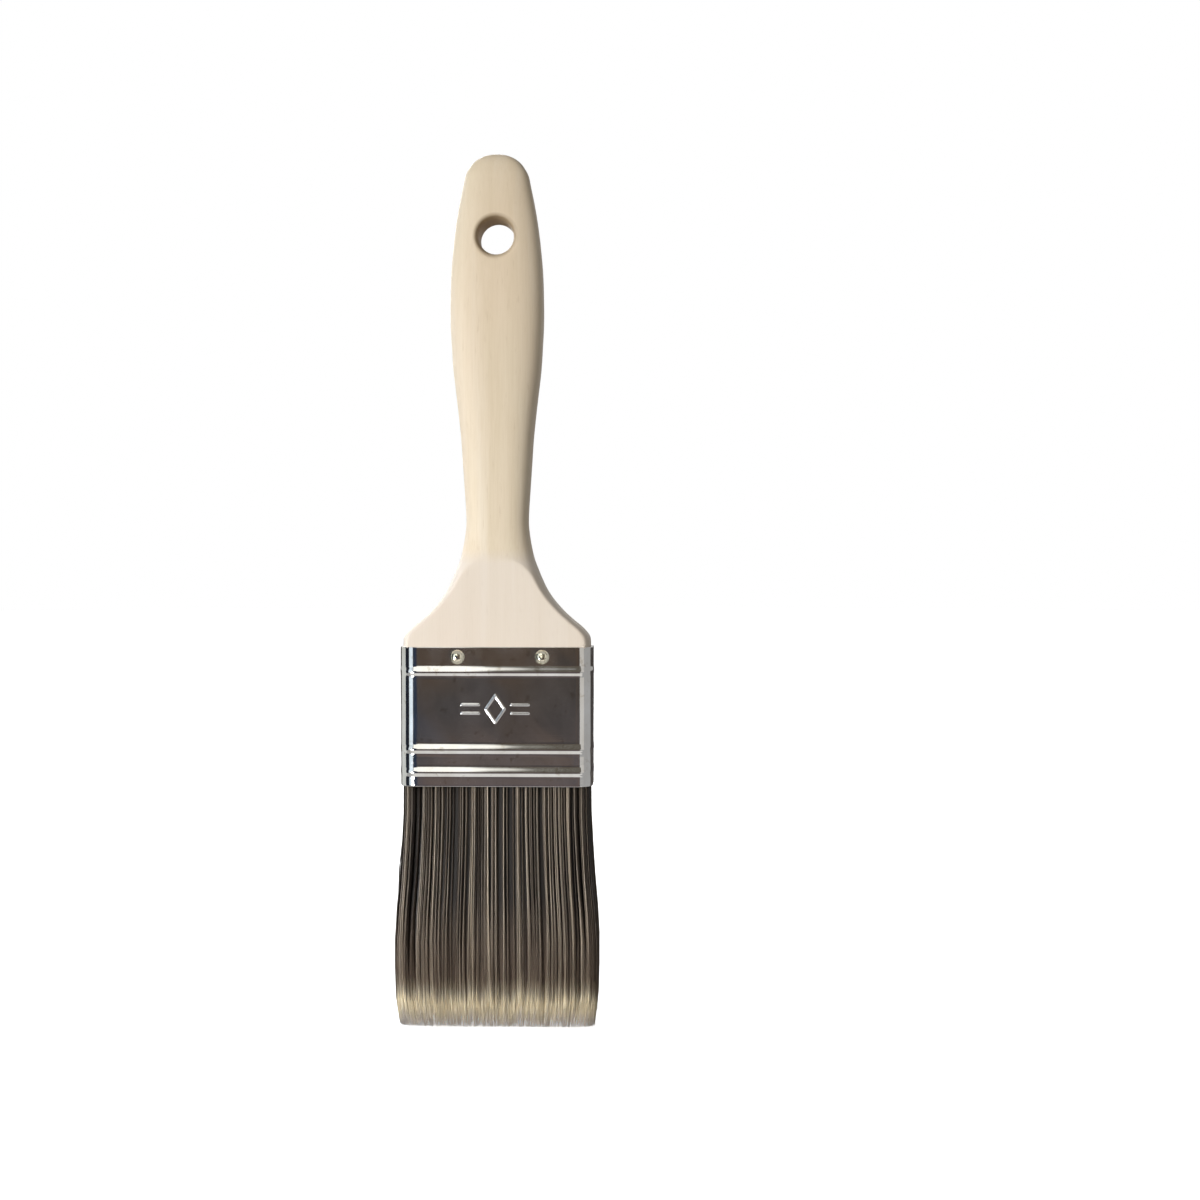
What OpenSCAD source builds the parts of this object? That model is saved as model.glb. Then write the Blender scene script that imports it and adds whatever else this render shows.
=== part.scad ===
// Flat varnish brush, 50 mm wide, with a shaped wooden handle and a beaded
// sheet-metal ferrule. Millimetres. +Z points up to the end of the handle, the
// front face looks along -Y, and the origin is the centre of the hanging hole.

/* [Handle] */
// Height of the handle's rounded end above the hanging hole
handle_top = 21.8; // [21:0.1:24]
// Scale of the handle's width along the grip
grip_width_scale = 1; // [0.9:0.01:1.08]
// Half of the thickness left between the two planed faces at the shoulder
plane_half = 7.05; // [6.6:0.05:7.1]
// Radius of the hanging hole's straight wall
hole_r = 4.5; // [3.5:0.1:5]
// Half of the length of the hanging hole's straight wall
hole_half_len = 2.5; // [2:0.1:3]
// Radius that the rounded mouth of the hole adds
hole_mouth = 1.4; // [0.8:0.1:1.6]
// How far the tang reaches down inside the ferrule
tang_len = 15.2; // [13:0.1:16]

/* [Ferrule] */
// Width across the outside of the ferrule
ferrule_w = 50; // [49:0.1:50.4]
// Thickness across the outside of the ferrule
ferrule_t = 15.2; // [15:0.1:16]
// Outer corner radius of the ferrule
ferrule_r = 4.4; // [4:0.1:5]
// Sheet thickness of the ferrule
sheet = 0.45; // [0.3:0.05:0.5]
// Height of the ferrule
ferrule_h = 36; // [36:0.1:38]
// How far each bead stands out of the sheet
bead_h = 0.35; // [0.2:0.05:0.7]
// Half of the width of a bead
bead_half_w = 1.45; // [1:0.05:1.7]
// How far the stamped mark stands out of the sheet
mark_h = 0.25; // [0.15:0.05:0.4]

/* [Nails] */
// Diameter of a nail's domed head
nail_head_d = 3.8; // [3:0.1:4.4]
// Height of a nail's domed head
nail_head_h = 1.1; // [0.7:0.1:1.4]
// Diameter of a nail's shank
nail_d = 1.4; // [1.1:0.1:1.6]
// Length of a nail's shank
nail_len = 8.6; // [7:0.1:9.4]
// Half of the distance between the two front nails
nail_front_x = 10.9; // [10:0.1:13]
// Half of the distance between the two back nails
nail_back_x = 8.2; // [6:0.1:8.6]

/* [Filaments] */
// Length of filament that shows below the ferrule
filament_out = 63.2; // [50:0.1:66]
// Length of filament held inside the ferrule
filament_in = 19; // [18.4:0.1:20]

/* [Spacer and resin] */
// Width of the spacer plug
plug_w = 41; // [36:0.5:42]
// Thickness of the spacer plug
plug_t = 4; // [3:0.1:5]
// Length of the spacer plug
plug_len = 16.2; // [14:0.1:17]
// Depth of the resin that sets the filament butts
resin_len = 7.8; // [7:0.1:9]

/* [Hidden] */
$fn = 64;
gap = 0.05;                            // assembly gap between a part and the sheet
z_top = -105.8;                        // top edge of the ferrule
z_bot = z_top - ferrule_h;             // bottom edge of the ferrule
z_tip = z_bot - filament_out;          // filament tips
z_tang = z_top - tang_len;             // end of the tang
z_res = z_tang - 0.2;                  // top of the resin
z_res_low = z_res - resin_len;         // lower edge of the resin
z_butt = z_bot + filament_in;          // filament butts
z_plug_top = z_butt - 0.8;             // top of the spacer plug
in_w = ferrule_w / 2 - sheet - gap;    // half width of what fits inside
in_t = ferrule_t / 2 - sheet - gap;    // half thickness of what fits inside
in_r = ferrule_r - sheet - gap;        // its corner radius
nail_shift = 1.1;                      // how far right of the middle the front nails stand
z_nail = -108.3;                       // height of the nails
bead_z = [-112.1, -132.1, -138.0];     // centre height of each bead
cap_len = 6.3;                         // length of the rounded end
z_cap = handle_top - cap_len;          // where the rounded end starts
wood = "#e2d2b4";
metal = "#c9cacb";
brass = "#cfc7ae";
hair = "#5a4d42";

// Half width, half thickness and squareness of the handle at each height.
// [z, half width, half thickness, exponent]
STATIONS = [
    [  18,  7.9, 4.4, 3.0], [ 13,  8.9, 4.9, 3.0], [  8,  9.9, 5.3, 3.0],
    [   3, 10.7, 5.6, 3.0], [ -3, 11.4, 6.0, 3.0], [ -9, 11.9, 6.4, 3.0],
    [ -16, 12.1, 6.8, 3.0], [-22, 12.1, 7.1, 3.0], [-28, 11.8, 7.2, 3.0],
    [ -34, 11.4, 7.2, 3.0], [-40, 10.7, 7.1, 3.0], [-46, 10.0, 6.9, 3.0],
    [ -52,  9.4, 6.7, 3.0], [-58,  9.0, 6.5, 3.0], [-64,  8.6, 6.3, 3.0],
    [ -70,  8.2, 6.2, 3.0], [-74,  8.1, 6.2, 3.0], [-77,  8.4, 6.3, 3.0],
    [ -80,  8.9, 6.5, 3.0], [-83,  9.6, 7.1, 3.1], [-86, 10.7, 8.3, 3.3],
    [ -88, 11.5, 8.8, 3.5], [-91, 12.9, 9.0, 3.8], [-94, 14.9, 9.0, 4.3],
    [ -97, 17.6, 9.0, 4.7], [-99, 19.8, 9.0, 4.9], [-101, 22.2, 9.0, 5.1],
    [-103, 23.9, 9.0, 5.2], [-104.2, 24.25, 9.0, 5.3], [-106, 24.3, 9.0, 5.3]];

// Index of the station just above height z, and a smooth curve through column c
function below(z, i = 0) =
    (i >= len(STATIONS) - 2 || STATIONS[i + 1][0] < z) ? i : below(z, i + 1);
function slope(i, c) =
    i <= 0 ? (STATIONS[1][c] - STATIONS[0][c]) / (STATIONS[1][0] - STATIONS[0][0])
    : i >= len(STATIONS) - 1 ? 0
    : (STATIONS[i + 1][c] - STATIONS[i - 1][c]) / (STATIONS[i + 1][0] - STATIONS[i - 1][0]);
function curve(z, c) =
    let (i = below(z), a = STATIONS[i], b = STATIONS[i + 1], h = b[0] - a[0],
         t = (z - a[0]) / h)
    a[c] * (2*t*t*t - 3*t*t + 1) + h * slope(i, c) * (t*t*t - 2*t*t + t)
    + b[c] * (3*t*t - 2*t*t*t) + h * slope(i + 1, c) * (t*t*t - t*t);
// The rounded end closes the section as an ellipse does
function end_round(z) = z <= z_cap ? 1 : sqrt(max(0, 1 - pow((z - z_cap) / cap_len, 2)));
function half_w(z) = curve(min(z, 18), 1) * grip_scale(z) * end_round(z);
function half_t(z) = curve(min(z, 18), 2) * pow(end_round(z), 0.8);
function grip_scale(z) = 1 + (grip_width_scale - 1) * min(1, max(0, (z + 84) / 20));
// A superellipse, evenly spaced by angle
function section(w, t, n, m) = [for (i = [0 : m - 1])
    let (a = 360 * i / m, c = cos(a), s = sin(a),
         k = pow(pow(abs(c), n) + pow(abs(s), n), -1 / n))
    [w * k * c, t * k * s]];

// Joins rings of equal length into a closed solid, first ring lowest
module loft(rings) {
    m = len(rings[0]);
    n = len(rings);
    polyhedron(
        points = [for (r = rings) each r],
        faces = concat(
            [[for (j = [0 : m - 1]) j]],
            [[for (j = [m - 1 : -1 : 0]) (n - 1) * m + j]],
            [for (i = [0 : n - 2], j = [0 : m - 1])
                [i*m + j, (i + 1)*m + j, (i + 1)*m + (j + 1) % m]],
            [for (i = [0 : n - 2], j = [0 : m - 1])
                [i*m + j, (i + 1)*m + (j + 1) % m, i*m + (j + 1) % m]]),
        convexity = 6);
}

// Rectangle with round corners, half sizes w and t
module rounded_rect(w, t, r) {
    square([2 * (w - r), 2 * t], center = true);
    square([2 * w, 2 * (t - r)], center = true);
    for (x = [-1, 1], y = [-1, 1]) translate([x * (w - r), y * (t - r)]) circle(r);
}

// The blank of the handle, before its shoulder is planed
HANDLE_Z = concat([-105.8, -105, -104.2, -103.2], [for (z = [-102 : 1.5 : -75]) z],
    [for (z = [-72 : 4 : 12]) z], [14.5],
    [for (a = [0 : 15 : 75]) z_cap + cap_len * sin(a)], [z_cap + cap_len * sin(84)]);
module handle_blank() {
    loft([for (z = HANDLE_Z)
        [for (p = section(half_w(z), half_t(z), curve(min(z, 18), 3), 40)) [p[0], p[1], z]]]);
}

// Cuts the hanging hole, straight in the middle and rounded out to both faces
module hole_cutter() {
    depth = 4.6;
    rotate([90, 0, 0]) rotate_extrude()
        polygon(concat(
            [[0, -9], [hole_r + hole_mouth + 0.01, -9]],
            [for (a = [0 : 15 : 90]) [hole_r + hole_mouth * (1 - sin(a)), -hole_half_len - depth * cos(a) * 0.74]],
            [for (a = [90 : -15 : 0]) [hole_r + hole_mouth * (1 - sin(a)), hole_half_len + depth * cos(a) * 0.74]],
            [[hole_r + hole_mouth + 0.01, 9], [0, 9]]));
}

// A straight hole for each nail's shank, r wide
module nail_holes(r, deep) {
    for (s = [-1, 1]) {
        translate([nail_shift + s * nail_front_x, -ferrule_t / 2 - 1, z_nail])
            rotate([-90, 0, 0]) cylinder(h = deep + 1, r = r);
        translate([s * nail_back_x, ferrule_t / 2 + 1, z_nail])
            rotate([90, 0, 0]) cylinder(h = deep + 1, r = r);
    }
}

module handle() {
    color(wood) difference() {
        union() {
            difference() {
                handle_blank();
                for (s = [-1, 1]) translate([-30, s * (plane_half + 5) - 5, -110])
                    cube([60, 10, 30]);
            }
            translate([0, 0, z_tang]) linear_extrude(tang_len)
                rounded_rect(in_w, in_t, in_r);
        }
        hole_cutter();
        nail_holes(nail_d / 2 + 0.02, nail_len + 0.1);
    }
}

// Outward step of the sheet at height z: a raised-cosine bead at each bead height
function bead(z) = bead_h * max([for (b = bead_z)
    abs(z - b) < bead_half_w ? 0.5 + 0.5 * cos(180 * (z - b) / bead_half_w) : 0]);
BEAD_STEPS = [-1, -0.75, -0.5, -0.25, 0, 0.25, 0.5, 0.75, 1];
WALL_Z = concat([z_bot], [for (i = [2 : -1 : 0], k = BEAD_STEPS) bead_z[i] + k * bead_half_w], [z_top]);
// A closed ring of points round a rounded rectangle, half width w, half thickness t, corner radius r
function rr_ring(w, t, r, z) = [for (q = [[1, 1, 0], [-1, 1, 90], [-1, -1, 180], [1, -1, 270]],
    a = [0 : 10 : 90]) [q[0] * (w - r) + r * cos(a + q[2]), q[1] * (t - r) + r * sin(a + q[2]), z]];
// The sheet as one closed tube: rings up its outside, then back down its inside
module ferrule_sheet() {
    rings = concat(
        [for (z = WALL_Z) let (o = bead(z)) rr_ring(ferrule_w / 2 + o, ferrule_t / 2 + o, ferrule_r + o, z)],
        [for (i = [len(WALL_Z) - 1 : -1 : 0]) let (z = WALL_Z[i], o = bead(z) - sheet)
            rr_ring(ferrule_w / 2 + o, ferrule_t / 2 + o, ferrule_r + o, z)]);
    n = len(rings[0]);
    m = len(rings);
    polyhedron(points = [for (r = rings, p = r) p],
        faces = [for (i = [0 : m - 1], j = [0 : n - 1], h = [0, 1])
            let (a = i * n + j, b = i * n + (j + 1) % n, c = ((i + 1) % m) * n + j, d = ((i + 1) % m) * n + (j + 1) % n)
            h == 0 ? [a, c, b] : [b, c, d]]);
}
// One straight raised stroke of the stamped mark, from a to b on the front face
module stroke(a, b) {
    d = b - a;
    l = sqrt(d * d);
    translate([a[0], -ferrule_t / 2 - mark_h, a[1]])
        rotate([0, -atan2(d[1], d[0]), 0]) translate([-0.2, 0, -0.25])
            cube([l + 0.4, mark_h + 0.1, 0.5]);
}
// The stamped mark: an open diamond between two pairs of plain bars
DIAMOND = [[0, -118.2], [2.4, -121.7], [0, -125.2], [-2.4, -121.7]];
BARS = [for (x = [-1, 1], z = [-120.6, -122.8]) [[x * 4.2, z], [x * 8.6, z]]];
module ferrule() {
    color(metal) difference() {
        union() {
            ferrule_sheet();
            for (b = BARS) stroke(b[0], b[1]);
            for (i = [0 : 3]) stroke(DIAMOND[i], DIAMOND[(i + 1) % 4]);
        }
        nail_holes(nail_d / 2 + 0.05, 2);
        // butt seam down the middle of the right-hand edge
        translate([ferrule_w / 2 - 0.2, -0.12, z_bot - 1]) cube([2, 0.24, ferrule_h + 2]);
    }
}

// A domed nail: its head sits on z = 0 and its shank points down
module nail() {
    h = nail_head_h;
    r = nail_head_d / 2;
    sphere_r = (r * r + h * h) / (2 * h);
    rim = asin(r / sphere_r);
    rotate_extrude(convexity = 4) polygon(concat(
        [[0, -nail_len], [nail_d / 2, -nail_len + 2.2], [nail_d / 2, 0], [r, 0]],
        [for (k = [1 : 6]) let (a = rim * (1 - k / 6)) [sphere_r * sin(a), h - sphere_r * (1 - cos(a))]]));
}
module nail_front(x) {
    color(brass) translate([x, -ferrule_t / 2, z_nail]) rotate([90, 0, 0]) nail();
}
module nail_back(x) {
    color(brass) translate([x, ferrule_t / 2, z_nail]) rotate([-90, 0, 0]) nail();
}

// The plug that splits the filaments and leaves a reservoir for paint
module plug_shape(grow, top) {
    translate([0, 0, z_plug_top - plug_len]) linear_extrude(top - z_plug_top + plug_len)
        rounded_rect(plug_w / 2 + grow, plug_t / 2 + grow, 0.8);
}
module spacer_plug() {
    color("#d8c08c") difference() {
        plug_shape(0, z_plug_top);
        // bevels on the lower end
        for (s = [-1, 1]) translate([0, s * plug_t / 2, z_plug_top - plug_len])
            rotate([s * 25, 0, 0]) translate([-30, s * 3 - 3, -3]) cube([60, 6, 6]);
    }
}

// The butts of the filaments, as pockets in the resin
module butts(grow) {
    difference() {
        translate([0, 0, z_res_low - 1]) linear_extrude(z_butt - z_res_low + 1)
            rounded_rect(in_w - 0.6 + grow, in_t - 0.6 + grow, in_r - 0.6 + grow);
        plug_shape(0.5 - grow, z_butt + 1);
    }
}
module resin_setting() {
    color("#b98f3e") difference() {
        translate([0, 0, z_res_low]) linear_extrude(resin_len)
            rounded_rect(in_w, in_t, in_r);
        butts(0);
        plug_shape(0.02, z_plug_top + 0.02);
    }
}

// Half sizes of the filament pack, as shares of its length below the ferrule
// [share, half width, half thickness, corner radius]
FLARE = [[0, 24.45, 7.05, 3.85], [0.12, 24.5, 7.3, 4.0], [0.25, 24.9, 7.6, 4.2],
         [0.38, 25.4, 7.9, 4.4], [0.5, 26.1, 8.1, 4.5], [0.63, 26.6, 8.1, 4.5],
         [0.76, 26.6, 7.9, 4.4], [0.87, 26.4, 7.3, 4.2], [0.935, 26.2, 6.6, 4.0],
         [0.98, 25.8, 5.6, 3.6], [1, 25.4, 4.9, 3.2]];
module filament_block() {
    // from the resin to the lower edge of the ferrule
    difference() {
        translate([0, 0, z_bot]) linear_extrude(z_res_low - z_bot) rounded_rect(in_w, in_t, in_r);
        plug_shape(0.02, z_res_low + 1);
    }
    butts(-0.02);
    loft([for (i = [len(FLARE) - 1 : -1 : 0]) let (f = FLARE[i])
        rr_ring(f[1], f[2], f[3], z_bot - f[0] * filament_out)]);
}
module filament_pack(side) {
    color(hair) intersection() {
        filament_block();
        translate([-40, side > 0 ? 0.01 : -20.01, z_tip - 1]) cube([80, 20, 90]);
    }
}

handle();
ferrule();
nail_front(nail_shift - nail_front_x);  // nail_front_left
nail_front(nail_shift + nail_front_x);  // nail_front_right
nail_back(-nail_back_x);  // nail_back_left
nail_back(nail_back_x);  // nail_back_right
spacer_plug();
resin_setting();
filament_pack(-1);  // filament_pack_front
filament_pack(1);  // filament_pack_back
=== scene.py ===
import math

import bpy
import numpy as np
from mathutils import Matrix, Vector


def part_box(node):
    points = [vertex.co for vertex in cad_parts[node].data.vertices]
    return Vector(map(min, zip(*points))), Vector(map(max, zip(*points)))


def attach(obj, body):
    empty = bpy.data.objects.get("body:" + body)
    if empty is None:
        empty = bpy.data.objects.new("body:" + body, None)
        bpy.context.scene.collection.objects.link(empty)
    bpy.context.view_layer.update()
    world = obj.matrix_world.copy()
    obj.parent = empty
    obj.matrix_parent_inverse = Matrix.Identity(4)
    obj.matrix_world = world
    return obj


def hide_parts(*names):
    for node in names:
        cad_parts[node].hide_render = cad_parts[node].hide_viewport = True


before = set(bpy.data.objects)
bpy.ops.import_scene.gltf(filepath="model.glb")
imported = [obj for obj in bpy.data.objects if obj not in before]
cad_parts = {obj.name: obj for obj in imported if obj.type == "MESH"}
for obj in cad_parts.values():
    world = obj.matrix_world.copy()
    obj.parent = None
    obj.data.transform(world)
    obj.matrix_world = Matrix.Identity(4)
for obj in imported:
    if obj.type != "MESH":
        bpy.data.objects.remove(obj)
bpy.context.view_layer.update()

MM = 0.001

# ---------------------------------------------------------------- dimensions, mm
f_lo, f_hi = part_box("ferrule")
Z_TOP, Z_BOT = f_hi[2] / MM, f_lo[2] / MM
Z_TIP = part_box("filament_pack_front")[0][2] / MM
Z_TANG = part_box("handle")[0][2] / MM
OUT = Z_BOT - Z_TIP
FW, FT, FR, SHEET = 25.0, 7.6, 4.4, 0.45
BEADS, BEAD_H, BEAD_W = (-112.1, -132.1, -138.0), 0.35, 1.45
Z_NAIL, NAIL_FRONT, NAIL_BACK, NAIL_SHIFT = -108.3, 10.9, 8.2, 1.1
Z_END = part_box("handle")[1][2] / MM

STATIONS = np.array([
    [18, 7.9, 4.4, 3.0], [13, 8.9, 4.9, 3.0], [8, 9.9, 5.3, 3.0], [3, 10.7, 5.6, 3.0],
    [-3, 11.4, 6.0, 3.0], [-9, 11.9, 6.4, 3.0], [-16, 12.1, 6.8, 3.0], [-22, 12.1, 7.1, 3.0],
    [-28, 11.8, 7.2, 3.0], [-34, 11.4, 7.2, 3.0], [-40, 10.7, 7.1, 3.0], [-46, 10.0, 6.9, 3.0],
    [-52, 9.4, 6.7, 3.0], [-58, 9.0, 6.5, 3.0], [-64, 8.6, 6.3, 3.0], [-70, 8.2, 6.2, 3.0],
    [-74, 8.1, 6.2, 3.0], [-77, 8.4, 6.3, 3.0], [-80, 8.9, 6.5, 3.0], [-83, 9.6, 7.1, 3.1],
    [-86, 10.7, 8.3, 3.3], [-88, 11.5, 8.8, 3.5], [-91, 12.9, 9.0, 3.8], [-94, 14.9, 9.0, 4.3],
    [-97, 17.6, 9.0, 4.7], [-99, 19.8, 9.0, 4.9], [-101, 22.2, 9.0, 5.1], [-103, 23.9, 9.0, 5.2],
    [-104.2, 24.25, 9.0, 5.3], [-106, 24.3, 9.0, 5.3]])[::-1]
SLOPES = np.zeros_like(STATIONS)
for _c in (1, 2, 3):
    _z, _v = STATIONS[:, 0], STATIONS[:, _c]
    SLOPES[1:-1, _c] = (_v[2:] - _v[:-2]) / (_z[2:] - _z[:-2])
    SLOPES[-1, _c] = (_v[-1] - _v[-2]) / (_z[-1] - _z[-2])


def curve(z, c):
    z = np.clip(z, STATIONS[0, 0], 18.0)
    i = np.clip(np.searchsorted(STATIONS[:, 0], z, side="right") - 1, 0, len(STATIONS) - 2)
    z0, z1 = STATIONS[i, 0], STATIONS[i + 1, 0]
    h = z1 - z0
    t = (z - z0) / h
    return (STATIONS[i, c] * (2 * t**3 - 3 * t**2 + 1) + h * SLOPES[i, c] * (t**3 - 2 * t**2 + t)
            + STATIONS[i + 1, c] * (3 * t**2 - 2 * t**3) + h * SLOPES[i + 1, c] * (t**3 - t**2))


def smooth_max(a, b, k):
    h = np.maximum(k - np.abs(a - b), 0) / k
    return np.maximum(a, b) + h * h * k * 0.25


# ---------------------------------------------------------------- the handle
def handle_field(p):
    """Below zero inside the handle. p is n by 3, in mm."""
    x, y, z = p[:, 0], p[:, 1], p[:, 2]
    u = np.clip((z - (21.8 - 6.3)) / 6.3, 0, 0.9995)
    end = np.sqrt(1 - u * u)
    w, t, n = curve(z, 1) * end, curve(z, 2) * end**0.8, curve(z, 3)
    ax, ay = np.abs(x) / w, np.abs(y) / t
    big = np.maximum(np.maximum(ax, ay), 1e-6)
    g = big * ((ax / big) ** n + (ay / big) ** n) ** (1 / n)
    r = np.sqrt(x * x + y * y) + 1e-6
    f = np.where(g > 0.25, r * (1 - 1 / np.maximum(g, 0.25)), -3.0 * np.minimum(w, t) * (1 - g) / 0.75 * 0.34)
    # a sanded crease where the two faces are planed
    f = smooth_max(f, np.abs(y) - 7.05 - np.maximum(z + 79.0, 0) * 2, 0.22)
    f = smooth_max(f, z - Z_END, 0.1)
    # the tang inside the ferrule
    qx, qy = np.abs(x) - (24.5 - 3.9), np.abs(y) - (7.1 - 3.9)
    tang = np.sqrt(np.maximum(qx, 0) ** 2 + np.maximum(qy, 0) ** 2) + np.minimum(np.maximum(qx, qy), 0) - 3.9
    f = np.where(z < Z_TOP - 0.3, tang, f)
    f = smooth_max(f, Z_TANG - z, 0.2)
    # the hanging hole, rounded out to both faces
    d = np.clip((np.abs(y) - 2.5) / 3.404, 0, 1)
    rim = 4.5 + 1.4 * (1 - np.sqrt(1 - np.minimum(d, 0.995) ** 2))
    hole = rim - np.sqrt(x * x + z * z)
    return smooth_max(f, hole, 0.5)


def gradient(f, p, e=0.02):
    g = np.zeros_like(p)
    for a in range(3):
        d = np.zeros(3)
        d[a] = e
        g[:, a] = (f(p + d) - f(p - d)) / (2 * e)
    return g


def surface_nets(f, lo, hi, step):
    n = [int(math.ceil((b - a) / step)) + 1 for a, b in zip(lo, hi)]
    ax = [lo[i] + step * np.arange(n[i]) for i in range(3)]
    grid = np.stack(np.meshgrid(*ax, indexing="ij"), -1).reshape(-1, 3)
    v = np.concatenate([f(c) for c in np.array_split(grid, 12)]).reshape(n)
    s = v < 0
    cells = tuple(k - 1 for k in n)
    acc, cnt = np.zeros(cells + (3,)), np.zeros(cells)
    corner = [(i, j, k) for i in (0, 1) for j in (0, 1) for k in (0, 1)]

    def at(a, c):
        return a[c[0]:c[0] + cells[0], c[1]:c[1] + cells[1], c[2]:c[2] + cells[2]]

    for c in corner:
        for a in range(3):
            if c[a]:
                continue
            d = list(c)
            d[a] = 1
            v0, v1 = at(v, c), at(v, d)
            cross = (v0 < 0) != (v1 < 0)
            t = np.where(cross, v0 / np.where(cross, v0 - v1, 1), 0)
            for b in range(3):
                acc[..., b] += cross * (c[b] + (t if b == a else 0))
            cnt += cross
    used = cnt > 0
    index = np.full(cells, -1, int)
    index[used] = np.arange(used.sum())
    where = np.argwhere(used)
    pts = np.array(lo) + step * (where + acc[used] / cnt[used][:, None])
    quads = []
    for a in range(3):
        b, c = (a + 1) % 3, (a + 2) % 3
        one = [slice(1, -1)] * 3
        one[a] = slice(0, -1)
        two = list(one)
        two[a] = slice(1, None)
        s0, s1 = s[tuple(one)], s[tuple(two)]
        for flip, mask in ((False, s0 & ~s1), (True, ~s0 & s1)):
            q = np.argwhere(mask) + np.array([0 if k == a else 1 for k in range(3)])
            eb, ec = np.eye(3, dtype=int)[b], np.eye(3, dtype=int)[c]
            ring = [index[tuple((q - x).T)] for x in (eb + ec, ec, 0 * eb, eb)]
            quads.append(np.stack(ring[::-1] if flip else ring, 1))
    quads = np.concatenate(quads)
    for _ in range(6):
        g = gradient(f, pts)
        k = (g * g).sum(1) + 1e-9
        move = -(f(pts) / k)[:, None] * g
        far = np.linalg.norm(move, axis=1, keepdims=True)
        pts = pts + move * np.minimum(1, 0.25 * step / np.maximum(far, 1e-9))
    return pts, quads


def make_mesh(name, verts, faces, smooth=True):
    """A mesh object from points in mm and faces that all have the same number of corners."""
    verts, faces = np.asarray(verts, float) * MM, np.asarray(faces, int)
    me = bpy.data.meshes.new(name)
    me.vertices.add(len(verts))
    me.vertices.foreach_set("co", verts.ravel())
    k = faces.shape[1]
    me.loops.add(faces.size)
    me.loops.foreach_set("vertex_index", faces.ravel())
    me.polygons.add(len(faces))
    me.polygons.foreach_set("loop_start", np.arange(0, faces.size, k))
    me.polygons.foreach_set("loop_total", np.full(len(faces), k))
    me.polygons.foreach_set("use_smooth", np.full(len(faces), smooth))
    me.update(calc_edges=True)
    me.validate()
    o = bpy.data.objects.new(name, me)
    bpy.context.collection.objects.link(o)
    return o


# ---------------------------------------------------------------- material helpers
def srgb(r, g, b):
    return tuple((c / 12.92 if c <= 0.04045 else ((c + 0.055) / 1.055) ** 2.4) for c in (r / 255, g / 255, b / 255)) + (1.0,)


class Nodes:
    def __init__(self, name):
        self.m = bpy.data.materials.new(name)
        self.m.use_nodes = True
        self.t = self.m.node_tree
        self.bsdf = self.t.nodes["Principled BSDF"]
        self.coord = self.t.nodes.new("ShaderNodeTexCoord")

    def new(self, kind, **inputs):
        n = self.t.nodes.new("ShaderNode" + kind)
        for k, v in inputs.items():
            n.inputs[k.replace("_", " ")].default_value = v
        return n

    def link(self, a, b):
        self.t.links.new(a, b)

    def scaled(self, scale):
        m = self.new("Mapping")
        m.inputs["Scale"].default_value = scale
        self.link(self.coord.outputs["Object"], m.inputs["Vector"])
        return m.outputs[0]

    def noise(self, scale, detail=4.0, rough=0.55, distort=0.0):
        n = self.new("TexNoise", Scale=1.0, Detail=detail, Roughness=rough, Distortion=distort)
        self.link(self.scaled(scale), n.inputs["Vector"])
        return n.outputs["Fac"]

    def ramp(self, fac, *stops):
        r = self.new("ValToRGB")
        e = r.color_ramp.elements
        while len(e) < len(stops):
            e.new(0.5)
        for k, (pos, col) in zip(e, stops):
            k.position, k.color = pos, col
        self.link(fac, r.inputs["Fac"])
        return r.outputs["Color"]

    def mix(self, fac, a, b, blend="MIX"):
        m = self.t.nodes.new("ShaderNodeMix")
        m.data_type, m.blend_type = "RGBA", blend
        for sock, val in ((m.inputs[0], fac), (m.inputs[6], a), (m.inputs[7], b)):
            if hasattr(val, "is_output"):
                self.link(val, sock)
            else:
                sock.default_value = val
        return m.outputs[2]

    def math(self, op, a, b=0.0, c=0.0):
        m = self.t.nodes.new("ShaderNodeMath")
        m.operation = op
        for sock, val in zip(m.inputs, (a, b, c)):
            if hasattr(val, "is_output"):
                self.link(val, sock)
            else:
                sock.default_value = val
        return m.outputs[0]

    def bump(self, height, dist, strength=1.0, over=None):
        b = self.new("Bump", Strength=strength, Distance=dist)
        self.link(height, b.inputs["Height"])
        if over is not None:
            self.link(over, b.inputs["Normal"])
        return b.outputs["Normal"]


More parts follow.
